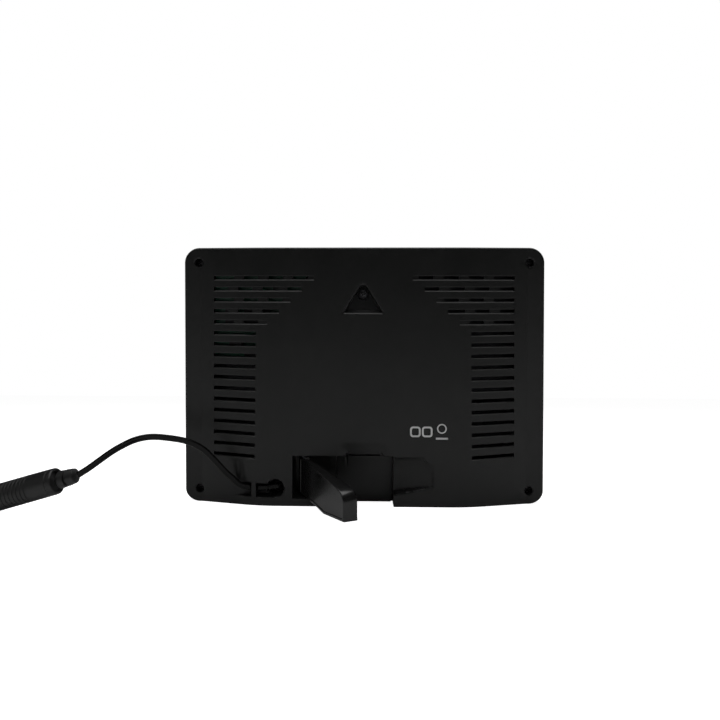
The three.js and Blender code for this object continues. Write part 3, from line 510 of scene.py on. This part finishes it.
def cover_y(x, z):
    """The cover's outer surface."""
    surface = back_y(x, z)
    y = surface - vent_drop(x, z)
    # A shallow dent beside the lead's channel.
    soft = 0.55 * np.exp(-(((x - 64) / 1.7) ** 2)) * ease((z - 12.5) / 3) * ease((26 - z) / 6)
    y = y - soft
    # Finger scoop beside the stand bay.
    across = np.clip((x - BAY_X[0]) / (-SCOOP_FAR - BAY_X[0]), 0, 1)
    dish = (5.2 - 3.2 * across) * (1 - np.exp(np.minimum(scoop_border(x, z), 0) / 5.0)) + 0.15 + 0.55 * across
    y = pocket(y, np.where(x < BAY_X[0] + 0.5, scoop_distance(x, z), 9), surface - dish, 0.12)
    ledge = scoop_ledge(x)
    lip = np.clip((z - ledge + 0.7) / 0.7, 0, 1) * (z < ledge) * ((x > -SCOOP_FAR) & (x < BAY_X[0]))
    y = y - 0.5 * lip
    # Stand bay, its hinge pocket and its finger notch.
    floor = np.where(x > BAY_STEP, HINGE_FLOOR, np.where(x > BAY_RAMP, RAMP_FLOOR, BAY_FLOOR))
    under_notch = (np.abs(x - NOTCH_MID) < 8.6) & (z > NOTCH_SHADOW)
    floor = np.where((x < BAY_X[0] + SHADOW_GAP) | under_notch, SHADOW_FLOOR, floor)
    low = np.where(x > BAY_RAMP, BAY_Z[0], -50.0)
    y = y - 0.8 * ease((35.5 - z) / 6) * ease((14.5 - np.abs(x - NOTCH_MID)) / 6) * (z > BAY_Z[1])
    y = pocket(y, box_distance(x, z, *BAY_X, low, BAY_Z[1]), floor)
    y = pocket(y, box_distance(x, z, *NOTCH_BOX, 1.6), np.minimum(NOTCH_FLOOR, y), 0.5)
    # Lead: keyhole, channel and the ramp that it leaves by.
    y = pocket(y, keyhole_distance(x, z), KEYHOLE_FLOOR, 0.35)
    y = np.where(np.hypot(x - KEYHOLE[0], z - KEYHOLE[1]) < 3.0, -1.0, y)
    rise = np.clip((x - STRAP_X[1]) / (CHANNEL_END - STRAP_X[1]), 0, 1) ** 1.2
    ramp = CHANNEL_FLOOR + (surface - CHANNEL_FLOOR) * rise
    channel = box_distance(x, z, KEYHOLE[0], CHANNEL_END, *CHANNEL_Z, 0.8)
    y = pocket(y, np.where(keyhole_distance(x, z) < 0, 9, channel), ramp, 0.3)
    # Hanger triangle: a sloped lower wall.
    floor = HANGER_FLOOR - 0.8 + 2.2 * (HANGER_TOP - z) / (HANGER_TOP - HANGER_BASE)
    slope = surface + (floor - surface) * np.clip((z - HANGER_BASE) / HANGER_SLOPE, 0, 1) ** 1.3
    y = pocket(y, np.where(z > HANGER_BASE, hanger_distance(x, z), 9), slope, 0.2)
    y = np.where(np.hypot(x, z - HANGER_SCREW_Z + 0.9) < 2.5, HANGER_FLOOR - 2.2, y)
    # Counterbores of the corner screws, and the rounded outer edge.
    y = pocket(y, screw_distance(x, z), SCREW_FLOOR, 0.3)
    return y - fillet(edge_distance(x, z), EDGE_ROUND)


def inner_y(x, z):
    """The cover's inner surface, which passes behind every pocket."""
    y = back_y(x, z) - WALL
    blocks = [
        (box_distance(x, z, BAY_X[0] - 1.8, BAY_X[1] + 1.8, -20, BAY_Z[1] + 3), -5.1),
        (box_distance(x, z, -37.9, BAY_X[0], 5, 29), 1.2),
        (box_distance(x, z, 38, 69, 3, 17), 0.0),
        (box_distance(x, z, 41, 49, 7, 15), -2.6),
        (box_distance(x, z, -12.5, 12.5, 98, 118), -0.9),
        (box_distance(x, z, -3.7, 3.7, 105.5, 114.5), -2.4),
        (screw_distance(x, z) - 1.4, -6.0),
    ]
    for d, depth in blocks:
        y = np.where(d < 0, np.minimum(y, depth), y)
    return y


def lines(*runs):
    """Sorted grid lines from (start, end, step) runs and lists, without near-duplicates."""
    values = []
    for run in runs:
        values += list(run) if isinstance(run, list) else list(np.arange(run[0], run[1] + 1e-6, run[2]))
    values = np.unique(np.round(values, 3))
    return values


def thin_out(values, keep, space):
    """Drops lines that crowd the lines to keep, or each other."""
    keep = np.array(sorted(keep))
    out = list(keep)
    for v in values:
        if np.min(np.abs(np.array(out) - v)) > space:
            out.append(v)
    return np.array(sorted(out))


STEP_OFFSETS = (-0.25, -0.05, -0.025, 0.0, 0.05, 0.25)  # grid lines either side of a square edge
RIM_INSETS = (0, 0.04, 0.15, 0.33, 0.62, EDGE_ROUND)  # grid lines over the rounded outer edge


def around(edges):
    return [round(e + o, 3) for e in edges for o in STEP_OFFSETS]


def cover_lines():
    """The lines across and up that the grid needs for its edges, sides and corners."""
    ends = sorted({e for row in range(VENT_ROWS) for s in vent_stretches(row) for e in s})
    arc = [WIDTH / 2 - CORNER_R + CORNER_R * math.sin(math.radians(a)) for a in range(0, 90, 10)]
    rim = [WIDTH / 2 - d for d in RIM_INSETS]
    row_ends = [e + s for e in (VENT_OUTER, VENT_INNER, *VENT_STEPS) for s in (-0.02, 0.02)]
    both = sorted(set(ends + row_ends + arc + rim))
    bay_steps = [*BAY_X, BAY_STEP, BAY_RAMP, BAY_X[0] + SHADOW_GAP, 8.1, -9.1]
    must_x = both + [-v for v in both] + around(bay_steps)
    fine_x = [(SCREW_X - 2.6, SCREW_X + 2.6, 0.4), (-SCREW_X - 2.6, -SCREW_X + 2.6, 0.4),
              (40.2, 49.8, 0.35), (50, 70, 0.7), (-11.2, 11.2, 0.5), (-37, -15, 0.7)]
    across = thin_out(lines((-94, 94, 2.4), *fine_x), must_x, 0.2)
    rows = [VENT_TOP - row * VENT_PITCH for row in range(VENT_ROWS)]
    offsets = (-VENT_HALF - VENT_LIP - 0.3, -VENT_HALF - VENT_LIP, -VENT_HALF - 0.02, -VENT_HALF, VENT_HALF,
               VENT_HALF + 0.02, VENT_HALF + VENT_ROUND, VENT_HALF + 0.45)
    must_z = [c + o for c in rows for o in offsets] + [HEIGHT - d for d in RIM_INSETS] + [0, 0.1, 0.3]
    must_z += around([BAY_Z[1], NOTCH_SHADOW, *CHANNEL_Z])
    arc_z = [HEIGHT - CORNER_R + CORNER_R * math.sin(math.radians(a)) for a in range(0, 80, 12)]
    fine_z = [(SCREW_Z[0] - 2.6, SCREW_Z[0] + 2.6, 0.4), (SCREW_Z[1] - 2.6, SCREW_Z[1] + 2.6, 0.4),
              (5, 15.6, 0.35), (27.4, 30, 0.3), (HANGER_BASE - 0.3, HANGER_TOP + 0.6, 0.45), arc_z]
    up = thin_out(lines((1.0, 134, 2.6), *fine_z), must_z, 0.2)
    return across, up, ends, rows


def fitted(x_lines, z_lines, inset, edge_y):
    """Grid points inside the outline: lines close up towards its bottom and its round corners."""
    x = np.clip(x_lines, -WIDTH / 2 + inset, WIDTH / 2 - inset)
    r = CORNER_R - inset
    past = np.clip(np.abs(x) - (WIDTH / 2 - CORNER_R), 0, r)
    arc = CORNER_R - np.sqrt(np.maximum(r * r - past * past, 0))
    low = arc + edge_y(x) * TAN
    high = HEIGHT - arc
    grid_x, t = np.meshgrid(x, z_lines, indexing="ij")
    low_end, high_end = low[:, None], high[:, None]
    a = np.minimum(5.2 + np.maximum(low_end, 0) * (past > 0)[:, None], 13.5)
    b = HEIGHT - 5.2 - np.maximum(0, arc[:, None])
    t0, t1 = z_lines[0], z_lines[-1]
    z = np.where(t < a, a - (a - t) * (a - low_end) / (a - t0), t)
    z = np.where(t > b, b + (t - b) * (high_end - b) / (t1 - b), z)
    return grid_x, z


def snapped(x, z, distance, reach):
    """Moves the grid points nearest an outline onto it."""
    e = 1e-4
    d = distance(x, z)
    gx = (distance(x + e, z) - d) / e
    gz = (distance(x, z + e) - d) / e
    near = np.abs(d) < reach
    return np.where(near, x - d * gx, x), np.where(near, z - d * gz, z)


def open_cells(x_lines, z_lines, rows):
    """True for the grid cells inside a vent's open stretch."""
    mask = np.zeros((len(x_lines) - 1, len(z_lines) - 1), bool)
    mid_x = (x_lines[1:] + x_lines[:-1]) / 2
    mid_z = (z_lines[1:] + z_lines[:-1]) / 2
    for row, centre in enumerate(rows):
        inside_z = np.abs(mid_z - centre) < VENT_HALF
        for x0, x1 in vent_stretches(row):
            inside_x = (np.abs(mid_x) > x0) & (np.abs(mid_x) < x1)
            mask |= inside_x[:, None] & inside_z[None, :]
    return mask


def grid_faces(shape, mask, first, outward):
    """A quad for each grid cell that isn't masked."""
    i, j = np.nonzero(~mask)
    here, beyond = first + i * shape[1] + j, first + (i + 1) * shape[1] + j
    corners = np.stack([here, here + 1, beyond + 1, beyond], 1)
    return (corners if outward else corners[:, ::-1]).tolist()


def rim_loop(shape):
    """Indices round a grid's border."""
    n, m = shape
    return ([i * m for i in range(n)] + [(n - 1) * m + j for j in range(1, m)]
            + [i * m + m - 1 for i in range(n - 2, -1, -1)] + list(range(m - 2, 0, -1)))


def at_seam(points):
    """A border of the cover dropped to the seam with the bezel."""
    low = points.copy()
    low[:, 1] = COVER_FRONT_Y
    share = np.clip((HEIGHT - CORNER_R - points[:, 2]) / (HEIGHT - 2 * CORNER_R), 0, 1)
    low[:, 2] += share * (COVER_FRONT_Y - points[:, 1]) * TAN
    return low


def span(values, a, b):
    """Indices of the values from a to b."""
    return [k for k, v in enumerate(values) if a - 1e-3 <= v <= b + 1e-3]


def hanger_sides(x, z):
    return np.where(z > HANGER_BASE + 0.6, hanger_distance(x, z), 9)


def scoop_ledge_only(x, z):
    return np.where((x < BAY_X[0] - 0.3) & (x > -36.5), scoop_ledge(x) - z, 9)


def make_cover():
    x_lines, z_lines, ends, rows = cover_lines()
    x, z = fitted(x_lines, z_lines, 0, lambda a: cover_y(a, np.full_like(a, 2.0)) - FOOT_STEP)
    for distance, reach in ((screw_distance, 0.2), (keyhole_distance, 0.2)):
        x, z = snapped(x, z, distance, reach)
    x, z = snapped(x, z, hanger_sides, 0.24)
    x, z = snapped(x, z, scoop_ledge_only, 0.18)
    y = cover_y(x, z)
    y[:, 0] -= FOOT_STEP
    outer = np.stack([x, y, z], -1).reshape(-1, 3)

    both = sorted(set(ends + [20.0, 89.0, 91.5, 92.6, 93.0]))
    blocks = [-37.9, -37.8, BAY_X[0] - 1.8, BAY_X[0] - 1.7, -12.5, -12.4, -3.8, -3.7, 3.7, 3.8,
              12.4, 12.5, 37.9, 38.0, 41, 41.1, 49, 49.1, 69, 69.1]
    corner = [s * (SCREW_X + o) for s in (-1, 1) for o in (-3.6, -2.5, 0, 2.5, 3.6)]
    in_x = thin_out(lines(blocks + corner), both + [-v for v in both], 0.08)
    slots = [c + s * VENT_HALF for c in rows for s in (-1, 1)]
    heights = [2.2, 5.5, 7, 10, 15, 15.1, 17, 17.1, 29, 29.1, 30.2, 30.3, 98, 98.1, 105.4, 105.5,
               114.5, 114.6, 118.1, 118.2, 123.5, 127, 130, 131.5, 132.6]
    in_z = thin_out(lines(heights), slots + [0.0, 133.0], 0.08)
    ix, iz = fitted(in_x, in_z, WALL, lambda a: inner_y(a, np.full_like(a, 2.0)))
    iy = inner_y(ix, iz)
    inner = np.stack([ix, iy, iz], -1).reshape(-1, 3)

    outer_mask, inner_mask = open_cells(x_lines, z_lines, rows), open_cells(in_x, in_z, rows)
    base = len(outer)
    faces = grid_faces(x.shape, outer_mask, 0, True) + grid_faces(ix.shape, inner_mask, base, False)
    outer_loop, inner_loop = rim_loop(x.shape), [base + k for k in rim_loop(ix.shape)]
    seam_outer = at_seam(outer[outer_loop])
    seam_inner = at_seam(inner[[k - base for k in inner_loop]])
    points = np.concatenate([outer, inner, seam_outer, seam_inner])
    first = base + len(inner)
    second = first + len(seam_outer)
    for loop, start, turn in ((outer_loop, first, False), (inner_loop, second, True)):
        n = len(loop)
        for k in range(n):
            quad = (loop[k], loop[(k + 1) % n], start + (k + 1) % n, start + k)
            faces.append(quad[::-1] if turn else quad)

    # Each vent's four walls join the outer surface's lines to the inner surface's fewer lines.
    for row, centre in enumerate(rows):
        for x0, x1 in vent_stretches(row):
            for a, b in ((x0, x1), (-x1, -x0)):
                oi, oj = span(x_lines, a, b), span(z_lines, centre - VENT_HALF, centre + VENT_HALF)
                ii, ij = span(in_x, a, b), span(in_z, centre - VENT_HALF, centre + VENT_HALF)
                m, im = len(z_lines), len(in_z)
                for oc, ic, flip in ((oj[0], ij[0], False), (oj[-1], ij[-1], True)):
                    wall = [i * m + oc for i in oi] + [base + i * im + ic for i in reversed(ii)]
                    faces.append(wall[::-1] if flip else wall)
                for oc, ic, flip in ((oi[0], ii[0], True), (oi[-1], ii[-1], False)):
                    wall = [oc * m + j for j in oj] + [base + ic * im + j for j in reversed(ij)]
                    faces.append(wall[::-1] if flip else wall)

    cover = piece("rear_cover_moulding", to_row(points), faces, CASE, "case", 38, ["rear_cover"])
    mesh = bmesh.new()
    mesh.from_mesh(cover.data)
    mesh.verts.ensure_lookup_table()
    mesh.edges.ensure_lookup_table()
    border = [e for e in mesh.edges if len(e.link_faces) == 1]
    bmesh.ops.bridge_loops(mesh, edges=border)
    bmesh.ops.remove_doubles(mesh, verts=mesh.verts, dist=2e-6)
    bmesh.ops.recalc_face_normals(mesh, faces=mesh.faces)
    for face in mesh.faces:
        face.smooth = True
    mesh.to_mesh(cover.data)
    mesh.free()
    cover.data.set_sharp_from_angle(angle=math.radians(38))


make_cover()


# ---- pieces fixed to the cover ------------------------------------------------------------------
def make_strap():
    """The bridge over the lead's channel, flush with the back."""
    corners = [(x, z) for z in (CHANNEL_Z[0] - 0.8, CHANNEL_Z[1] + 0.8) for x in STRAP_X]
    points = [(x, STRAP_UNDER, z) for x, z in corners]
    points += [(x, float(back_y(x, z)) - 0.02, z) for x, z in corners]
    faces = [(0, 1, 3, 2), (4, 6, 7, 5), (0, 4, 5, 1), (2, 3, 7, 6), (0, 2, 6, 4), (1, 5, 7, 3)]
    strap = piece("lead_strap", to_row(points), faces, CASE, "case")
    bevelled(strap, 0.3)


def rounded_square(side, r, steps=6):
    """Points round a square with round corners, centred on its middle."""
    points = []
    for quarter in range(4):
        sx, sz = ((1, 1), (-1, 1), (-1, -1), (1, -1))[quarter]
        for k in range(steps + 1):
            a = math.radians(90 * (quarter + k / steps))
            points.append((sx * (side / 2 - r) + r * math.cos(a), sz * (side / 2 - r) + r * math.sin(a)))
    return points


def printed(name, loops):
    """White ink a little proud of the back: each loop is (outer outline, inner outline or None)."""
    points, faces = [], []
    for outer, inner in loops:
        n, first = len(outer), len(points)
        for lift in (0.04, -0.05):
            for x, z in outer + (inner or []):
                points.append((x, float(back_y(x, z)) + lift, z))
        layer = n * (2 if inner else 1)
        for i in range(n):
            j = (i + 1) % n
            a, b = first + i, first + j
            faces.append((a, b, b + layer, a + layer))
            if inner:
                faces.append((a, a + n, b + n, b))
                faces.append((a + n, a + n + layer, b + n + layer, b + n))
                faces.append((a + layer, b + layer, b + n + layer, a + n + layer))
        if not inner:
            faces.append(tuple(first + i for i in reversed(range(n))))
            faces.append(tuple(first + layer + i for i in range(n)))
    piece(name, to_row(points), faces, INK, "case")


def shifted(outline, x, z):
    return [(x + a, z + b) for a, b in outline]


def make_marks():
    """Plain generic marks where the maker prints its own."""
    square = (rounded_square(5.4, 1.5), rounded_square(3.6, 0.8))
    printed("print_squares", [tuple(shifted(o, x, 40.0) for o in square) for x in (-33.0, -26.9)])
    ring = (rounded_square(5.0, 2.49), rounded_square(3.7, 1.84))
    bar = [(-3.1, -0.5), (3.1, -0.5), (3.1, 0.5), (-3.1, 0.5)]
    printed("print_ring", [tuple(shifted(o, -40.5, 41.6) for o in ring), (shifted(bar, -40.5, 36.6), None)])


def make_screw(name, x, z, under, r, height, length, replaced, turn):
    """A pan head with a cross recess, and its plain shank."""
    rings, sides = 18, 48
    points = []
    angles = [2 * math.pi * i / sides for i in range(sides)]
    shank = [(under - length, 0.5), (under - length + 1, 1.0), (under, 1.0), (under, r),
             (under + height * 0.35, r)]
    for s, radius in shank:
        points += [(x + radius * math.cos(a), s, z + radius * math.sin(a)) for a in angles]
    for k in range(1, rings):
        radius = r * (1 - k / rings) + 0.01
        for a in angles:
            dome = under + height * (0.35 + 0.65 * math.sqrt(max(0, 1 - (radius / r) ** 2.6)))
            u, v = radius * math.cos(a - turn), radius * math.sin(a - turn)
            narrow, long = min(abs(u), abs(v)), max(abs(u), abs(v))
            slot = (1 - ease((narrow - 0.12 * r) / (0.09 * r))) * (1 - ease((long - 0.5 * r) / (0.14 * r)))
            points.append((x + radius * math.cos(a), dome - 0.75 * height * slot, z + radius * math.sin(a)))
    faces = rings_to_faces(len(points) // sides, sides)
    faces = [face[::-1] for face in faces]
    piece(name, to_row(points), faces, SCREW_STEEL, "case", 45, [replaced])


def make_screws():
    places = [(side * SCREW_X, z) for side in (-1, 1) for z in SCREW_Z]
    for i, (x, z) in enumerate(places):
        name, replaced = f"corner_screw_{i + 1}", f"case_screw_{i + 1}"
        make_screw(name, x, z, SCREW_FLOOR + GAP, 1.9, 1.5, 10.5, replaced, 0.5 + 1.3 * i)
    make_screw("hanger_screw_head", 0, HANGER_SCREW_Z, HANGER_FLOOR + GAP, 2.1, 1.6, 9, "hanger_screw", 0.3)


# ---- stand leg ----------------------------------------------------------------------------------
LEG_TOP = [(0, 26), (12, 25.6), (14, 25.25), (27.5, 23.6), (33, 22.6), (38, 21.9)]
LEG_BOTTOM = [(30, 4.5), (19.8, 5.75), (9.2, 6.4), (0, 6.4)]  # runs on below the table, which cuts it
LEG_FACE_Y, LEG_BACK_Y, LEG_BACK_SLOPE = 3.2, 1.51, 0.1284
RIM, RIM_STEP, RECESS, LEG_EDGE = 0.72, 0.16, 0.32, 0.45  # the outer face's rim and the round edges


def leg_place(length, y, z):
    """A point of the leg, given along its length when folded, turned out to where it stands."""
    c, s = math.cos(-LEG_SWING), math.sin(-LEG_SWING)
    return (LEG_X - length * c - y * s, LEG_Y - length * s + y * c, z)


def make_leg():
    turns = [math.radians(a) for a in range(20, 91, 10)]
    tip = [(LEG_LENGTH - 7.2 + 7.2 * math.sin(a) ** 0.9, 13.6 + 8.0 * math.cos(a) ** 0.75) for a in turns]
    outline = LEG_TOP + tip + [(LEG_LENGTH, 9.5), (LEG_LENGTH + 0.6, 4.5)] + LEG_BOTTOM
    n = len(outline)
    points = [leg_place(length, LEG_FACE_Y, z) for length, z in outline]
    points += [leg_place(length, LEG_BACK_Y - LEG_BACK_SLOPE * length, z) for length, z in outline]
    mesh = bmesh.new()
    verts = [mesh.verts.new(p) for p in to_row(points)]
    mesh.faces.new(verts[:n])
    mesh.faces.new(verts[n:][::-1])
    for i in range(n):
        j = (i + 1) % n
        mesh.faces.new((verts[j], verts[i], verts[n + i], verts[n + j]))
    bmesh.ops.recalc_face_normals(mesh, faces=mesh.faces)
    everything = mesh.verts[:] + mesh.edges[:] + mesh.faces[:]
    table = (0, 0, 0.05 * MM)
    bmesh.ops.bisect_plane(mesh, geom=everything, plane_co=table, plane_no=(0, 0, -1), clear_outer=True)
    bmesh.ops.holes_fill(mesh, edges=[e for e in mesh.edges if e.is_boundary])
    bmesh.ops.recalc_face_normals(mesh, faces=mesh.faces)
    sharp = [e for e in mesh.edges if e.calc_face_angle(0) > math.radians(40)]
    bmesh.ops.bevel(mesh, geom=sharp, offset=LEG_EDGE * MM, segments=4, profile=0.5, affect="EDGES",
                    clamp_overlap=True)
    face_out = Vector((math.sin(LEG_SWING), math.cos(LEG_SWING) * COS, -math.cos(LEG_SWING) * SIN))
    outer = max((f for f in mesh.faces if f.normal.dot(face_out) > 0.98), key=lambda f: f.calc_area())
    bmesh.ops.inset_individual(mesh, faces=[outer], thickness=RIM * MM, use_even_offset=True)
    bmesh.ops.inset_individual(mesh, faces=[outer], thickness=RIM_STEP * MM, depth=-RECESS * MM,
                               use_even_offset=True)
    for f in mesh.faces:
        f.smooth = True

    z0, z1, r = 6.4, 26.0, LEG_R
    barrel = [(1.3, z0), (r - 0.35, z0), (r - 0.1, z0 + 0.1), (r, z0 + 0.35),
              (r, z1 - 0.35), (r - 0.1, z1 - 0.1), (r - 0.35, z1), (1.3, z1)]
    start = Vector(to_row((LEG_X, LEG_Y, 0)))
    points, faces = turned([(a * MM, s * MM) for a, s in barrel], start, UP, 72)
    verts = [mesh.verts.new(p) for p in points]
    for face in faces:
        mesh.faces.new([verts[k] for k in face]).smooth = True
    data = bpy.data.meshes.new("stand_leg_blade")
    mesh.to_mesh(data)
    mesh.free()
    data.materials.append(LEG)
    data.set_sharp_from_angle(angle=math.radians(33))
    leg = bpy.data.objects.new("stand_leg_blade", data)
    bpy.context.scene.collection.objects.link(leg)
    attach(leg, "leg")
    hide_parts("stand_leg")


make_strap()
make_marks()
make_screws()
make_leg()


# ---- CAD pieces that stay -------------------------------------------------------------------------
KEY_NAMES = ["power", "menu", "previous", "play", "next", "return"]
KEPT = {
    BEZEL: ["front_bezel"],
    DISPLAY: ["lcd_glass"],
    DIFFUSER: ["lcd_backlight"],
    STEEL: ["leg_hinge_pin", "leg_friction_washer", "usb_port"],
    DARK_STEEL: ["lcd_chassis", "card_reader", "board_screw_1", "board_screw_2", "board_screw_3"],
    BOARD: ["main_board", "keypad_board"],
    CHIP: ["processor_chip", "memory_chip", "flash_chip", "power_coil", "lead_header", "capacitor_large",
           "capacitor_small"] + [key + "_switch" for key in KEY_NAMES],
    CAN: ["clock_crystal"],
    KEY: [key + "_key" for key in KEY_NAMES],
    REMOTE: ["remote_window", "remote_receiver"],
    CONE: ["speaker_left", "speaker_right"],
    LEAD: ["inner_lead"],
    RIBBON: ["lcd_ribbon"],
    CONTACT: ["dc_socket_sleeve", "dc_socket_pin"],
}
EDGE_WIDTHS = {"front_bezel": 0.35}


def dress_cad():
    """Materials and soft edges on the CAD pieces that show as they are."""
    for material, names in KEPT.items():
        for name in names:
            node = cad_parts[name]
            for slot in node.material_slots:
                slot.material = material
            weld = node.modifiers.new("weld", "WELD")
            weld.merge_threshold = 0.002 * MM
            bevelled(node, EDGE_WIDTHS.get(name, 0.18), 2, 38)
            normals = node.modifiers.new("normals", "WEIGHTED_NORMAL")
            normals.keep_sharp = True
            for polygon in node.data.polygons:
                polygon.use_smooth = True


dress_cad()


# ---- the stage ------------------------------------------------------------------------------
def for_camera(tree, other_rays, camera_rays):
    """A strength that differs between what the camera sees and what lights the scene."""
    rays = tree.nodes.new("ShaderNodeLightPath")
    strength = tree.nodes.new("ShaderNodeMapRange")
    strength.inputs["To Min"].default_value = other_rays
    strength.inputs["To Max"].default_value = camera_rays
    tree.links.new(rays.outputs["Is Camera Ray"], strength.inputs["Value"])
    return strength.outputs["Result"]


def make_floor():
    mesh = bpy.data.meshes.new("floor")
    size = 3.0
    corners = [(-size, -size, 0), (size, -size, 0), (size, size, 0), (-size, size, 0)]
    mesh.from_pydata(corners, [], [(0, 1, 2, 3)])
    material, tree, shader = new_material("floor_paper")
    shader.inputs["Base Color"].default_value = (0.86, 0.86, 0.86, 1)
    shader.inputs["Roughness"].default_value = 0.9
    shader.inputs["Emission Color"].default_value = (1, 1, 1, 1)
    tree.links.new(for_camera(tree, 0.02, 0.97), shader.inputs["Emission Strength"])
    mesh.materials.append(material)
    floor = bpy.data.objects.new("floor", mesh)
    bpy.context.scene.collection.objects.link(floor)


def make_world():
    world = bpy.data.worlds.new("studio")
    world.use_nodes = True
    bpy.context.scene.world = world
    tree = world.node_tree
    background = tree.nodes["Background"]
    tree.links.new(for_camera(tree, 0.015, 1.0), background.inputs["Strength"])
    background.inputs["Color"].default_value = (1, 1, 1, 1)


def softbox(name, place, target, size, power):
    data = bpy.data.lights.new(name, "AREA")
    data.shape = "RECTANGLE"
    data.size, data.size_y = size
    data.energy = power
    lamp = bpy.data.objects.new(name, data)
    lamp.location = place
    lamp.rotation_euler = (Vector(target) - Vector(place)).to_track_quat("-Z", "Y").to_euler()
    bpy.context.scene.collection.objects.link(lamp)


def make_stage():
    make_floor()
    make_world()
    softbox("softbox_top", (0.0, 0.04, 0.6), (0, 0, 0.05), (0.7, 0.5), 2.7)
    softbox("strip_high", (0.0, 0.5, 0.62), (0, 0, 0.07), (0.5, 0.02), 0.27)
    softbox("softbox_left", (0.9, 0.7, 0.6), (0, 0, 0.06), (0.5, 0.8), 0.35)
    softbox("softbox_front", (-0.3, -1.0, 0.7), (0, 0, 0.06), (0.8, 0.8), 1.5)
    bpy.context.scene.view_settings.view_transform = "Standard"


make_stage()
